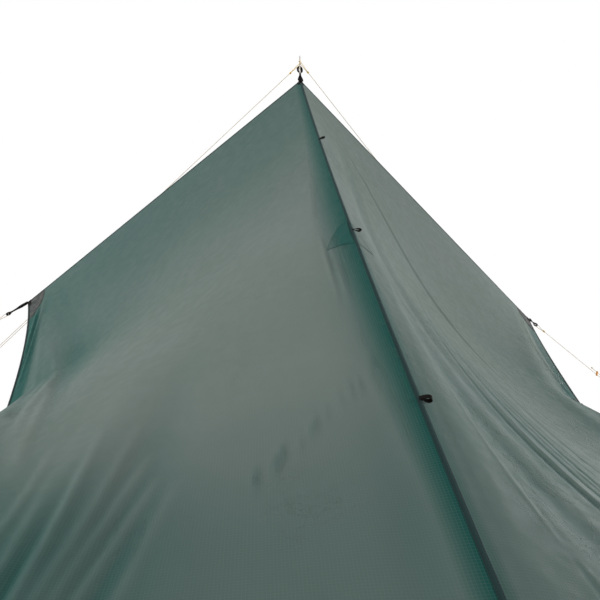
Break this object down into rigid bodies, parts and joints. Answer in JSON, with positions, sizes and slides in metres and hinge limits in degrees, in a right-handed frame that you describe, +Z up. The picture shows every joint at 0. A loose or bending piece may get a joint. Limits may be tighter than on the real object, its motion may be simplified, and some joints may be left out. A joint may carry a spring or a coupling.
{
  "type": "camping tarp",
  "caption": "Square ripstop camping tarp pitched as a half pyramid on a telescopic pole, with sewn patches, webbing loops and guylines with runners.",
  "frame": {"origin": "centre of the pole foot's underside, where the pole stands on the ground", "axes": "+Z up along the pole, -Y along the ridge towards the low front edge, +X to the right seen from the front; +X is the longest side of the object without its guylines"},
  "size_m": [3.3279, 2.8811, 2.232],
  "materials": {
    "ripstop": "silicone-coated ripstop nylon, satin sheen",
    "binding": "folded hem and taped seam, satin",
    "patch": "plain-weave reinforcement, matt",
    "webbing": "woven webbing, matt",
    "cord": "braided cord, matt",
    "knot": "braided cord tied in a knot, matt",
    "aluminium": "satin anodised tube",
    "steel": "turned, satin",
    "plastic": "moulded, fine grain",
    "rubber": "matt",
    "anodised": "gold anodised plate"
  },
  "bodies": {
    "tarp": {"left_panel": "ripstop", "right_panel": "ripstop", "left_hem": "binding", "right_hem": "binding", "ridge_tape": "binding", "peak_patch": "webbing", "centre_patch_left": "patch", "centre_patch_right": "patch", "rear_corner_patch_left": "patch", "rear_corner_patch_right": "patch", "front_corner_patch_left": "patch", "front_corner_patch_right": "patch", "side_patch_left_1": "patch", "side_patch_left_2": "patch", "side_patch_right_1": "patch", "side_patch_right_2": "patch", "peak_loop": "webbing", "ridge_loop_1": "webbing", "ridge_loop_2": "webbing", "ridge_loop_3": "webbing", "rear_corner_loop_left": "webbing", "rear_corner_loop_right": "webbing", "side_loop_left_1": "webbing", "side_loop_left_2": "webbing", "side_loop_right_1": "webbing", "side_loop_right_2": "webbing", "front_corner_loop_left": "webbing", "front_corner_loop_right": "webbing", "front_centre_loop": "webbing", "pole_upper_tube": "aluminium", "pole_bush": "plastic", "pole_ferrule": "plastic", "pole_tip_pin": "steel", "guyline_peak_left": "cord", "guyline_peak_right": "cord", "guyline_corner_left": "cord", "guyline_corner_right": "cord", "knot_peak_left": "knot", "knot_peak_right": "knot", "knot_corner_left": "knot", "knot_corner_right": "knot", "tail_knot_peak_left": "knot", "tail_knot_peak_right": "knot", "tail_knot_corner_left": "knot", "tail_knot_corner_right": "knot"},
    "lower_pole": {"pole_foot": "rubber", "pole_lower_tube": "aluminium", "lock_collar": "plastic", "lock_screw": "steel", "lock_nut": "steel", "lock_hinge_pin": "steel"},
    "lever": {"lock_lever": "plastic"},
    "runner_body_peak_left": {"runner_peak_left": "anodised"},
    "runner_body_peak_right": {"runner_peak_right": "anodised"},
    "runner_body_corner_left": {"runner_corner_left": "anodised"},
    "runner_body_corner_right": {"runner_corner_right": "anodised"}
  },
  "joints": [
    {"name": "pole_slide", "type": "slide", "parent": "tarp", "child": "lower_pole", "axis": [0, 0, 1], "range_m": [0, 0.8]},
    {"name": "lever_hinge", "type": "hinge", "parent": "lower_pole", "child": "lever", "pos_m": [0.016, 0.014, 1.046], "axis": [0, 0, 1], "range_deg": [0, 120]},
    {"name": "runner_slide_peak_left", "type": "slide", "parent": "tarp", "child": "runner_body_peak_left", "axis": [-0.6991, 0.271, -0.6617], "range_m": [-0.03, 0.45]},
    {"name": "runner_slide_peak_right", "type": "slide", "parent": "tarp", "child": "runner_body_peak_right", "axis": [0.6711, 0.2602, -0.6943], "range_m": [-0.03, 0.45]},
    {"name": "runner_slide_corner_left", "type": "slide", "parent": "tarp", "child": "runner_body_corner_left", "axis": [-0.8088, 0.4493, -0.3794], "range_m": [-0.03, 0.06]},
    {"name": "runner_slide_corner_right", "type": "slide", "parent": "tarp", "child": "runner_body_corner_right", "axis": [0.8088, 0.4493, -0.3794], "range_m": [-0.03, 0.06]}
  ]
}
